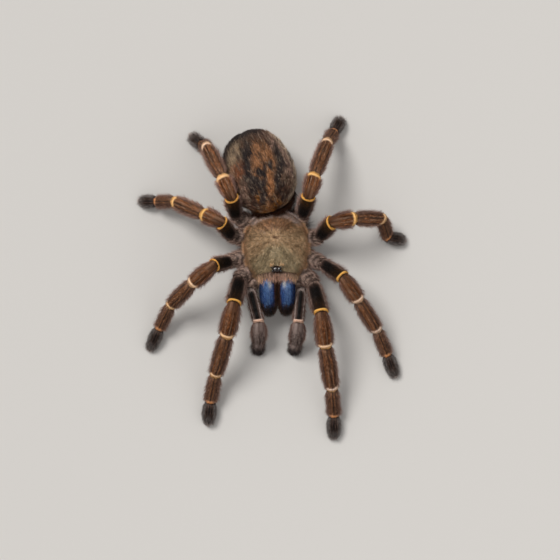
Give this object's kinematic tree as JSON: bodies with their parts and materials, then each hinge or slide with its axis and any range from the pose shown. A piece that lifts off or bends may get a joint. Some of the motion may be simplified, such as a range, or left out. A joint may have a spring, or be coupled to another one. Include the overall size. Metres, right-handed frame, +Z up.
{
  "type": "tarantula",
  "caption": "Still, life-size tarantula at rest: olive carapace, furry ringed legs spread over the ground, blue fang bases and a rounded hairy abdomen swung to one side.",
  "frame": {"origin": "centre of the bounding box at floor level, under the soles", "axes": "-Y is ahead of the spider, +X its left side, +Z up"},
  "size_m": [0.0686, 0.0832, 0.0176],
  "materials": {
    "olive_shell": "short lying down, olive to tan",
    "brown_coat": "bristly brown coat with fine streaks",
    "dark_coat": "near-black coat",
    "foot_coat": "grey brown coat, darker pads",
    "abdomen_coat": "brown coat with rufous and black marks",
    "blue_shell": "blue hairs with a metallic sheen",
    "fang": "polished near-black shell",
    "eye": "glossy black lenses",
    "pale_skin": "greyish pink skin under thin down"
  },
  "bodies": {
    "root": {"abdomen": "abdomen_coat", "carapace": "olive_shell", "eye_mound": "eye", "left_chelicera": "blue_shell", "left_fang": "fang", "left_palp_coxa": "pale_skin", "left_palp_femur": "dark_coat", "left_palp_tarsus": "foot_coat", "left_palp_tibia": "foot_coat", "left_spinneret": "brown_coat", "leg_left_1_coxa": "pale_skin", "leg_left_1_femur": "dark_coat", "leg_left_1_foot": "foot_coat", "leg_left_1_patella": "brown_coat", "leg_left_1_tibia": "brown_coat", "leg_left_2_coxa": "pale_skin", "leg_left_2_femur": "dark_coat", "leg_left_2_foot": "foot_coat", "leg_left_2_patella": "brown_coat", "leg_left_2_tibia": "brown_coat", "leg_left_3_coxa": "pale_skin", "leg_left_3_femur": "dark_coat", "leg_left_3_foot": "foot_coat", "leg_left_3_patella": "brown_coat", "leg_left_3_tibia": "brown_coat", "leg_left_4_coxa": "pale_skin", "leg_left_4_femur": "dark_coat", "leg_left_4_foot": "foot_coat", "leg_left_4_patella": "brown_coat", "leg_left_4_tibia": "brown_coat", "leg_right_1_coxa": "pale_skin", "leg_right_1_femur": "dark_coat", "leg_right_1_foot": "foot_coat", "leg_right_1_patella": "brown_coat", "leg_right_1_tibia": "brown_coat", "leg_right_2_coxa": "pale_skin", "leg_right_2_femur": "dark_coat", "leg_right_2_foot": "foot_coat", "leg_right_2_patella": "brown_coat", "leg_right_2_tibia": "brown_coat", "leg_right_3_coxa": "pale_skin", "leg_right_3_femur": "dark_coat", "leg_right_3_foot": "foot_coat", "leg_right_3_patella": "brown_coat", "leg_right_3_tibia": "brown_coat", "leg_right_4_coxa": "pale_skin", "leg_right_4_femur": "dark_coat", "leg_right_4_foot": "foot_coat", "leg_right_4_patella": "brown_coat", "leg_right_4_tibia": "brown_coat", "pedicel": "pale_skin", "right_chelicera": "blue_shell", "right_fang": "fang", "right_palp_coxa": "pale_skin", "right_palp_femur": "dark_coat", "right_palp_tarsus": "foot_coat", "right_palp_tibia": "foot_coat", "right_spinneret": "brown_coat", "sternum": "dark_coat"}
  },
  "joints": []
}
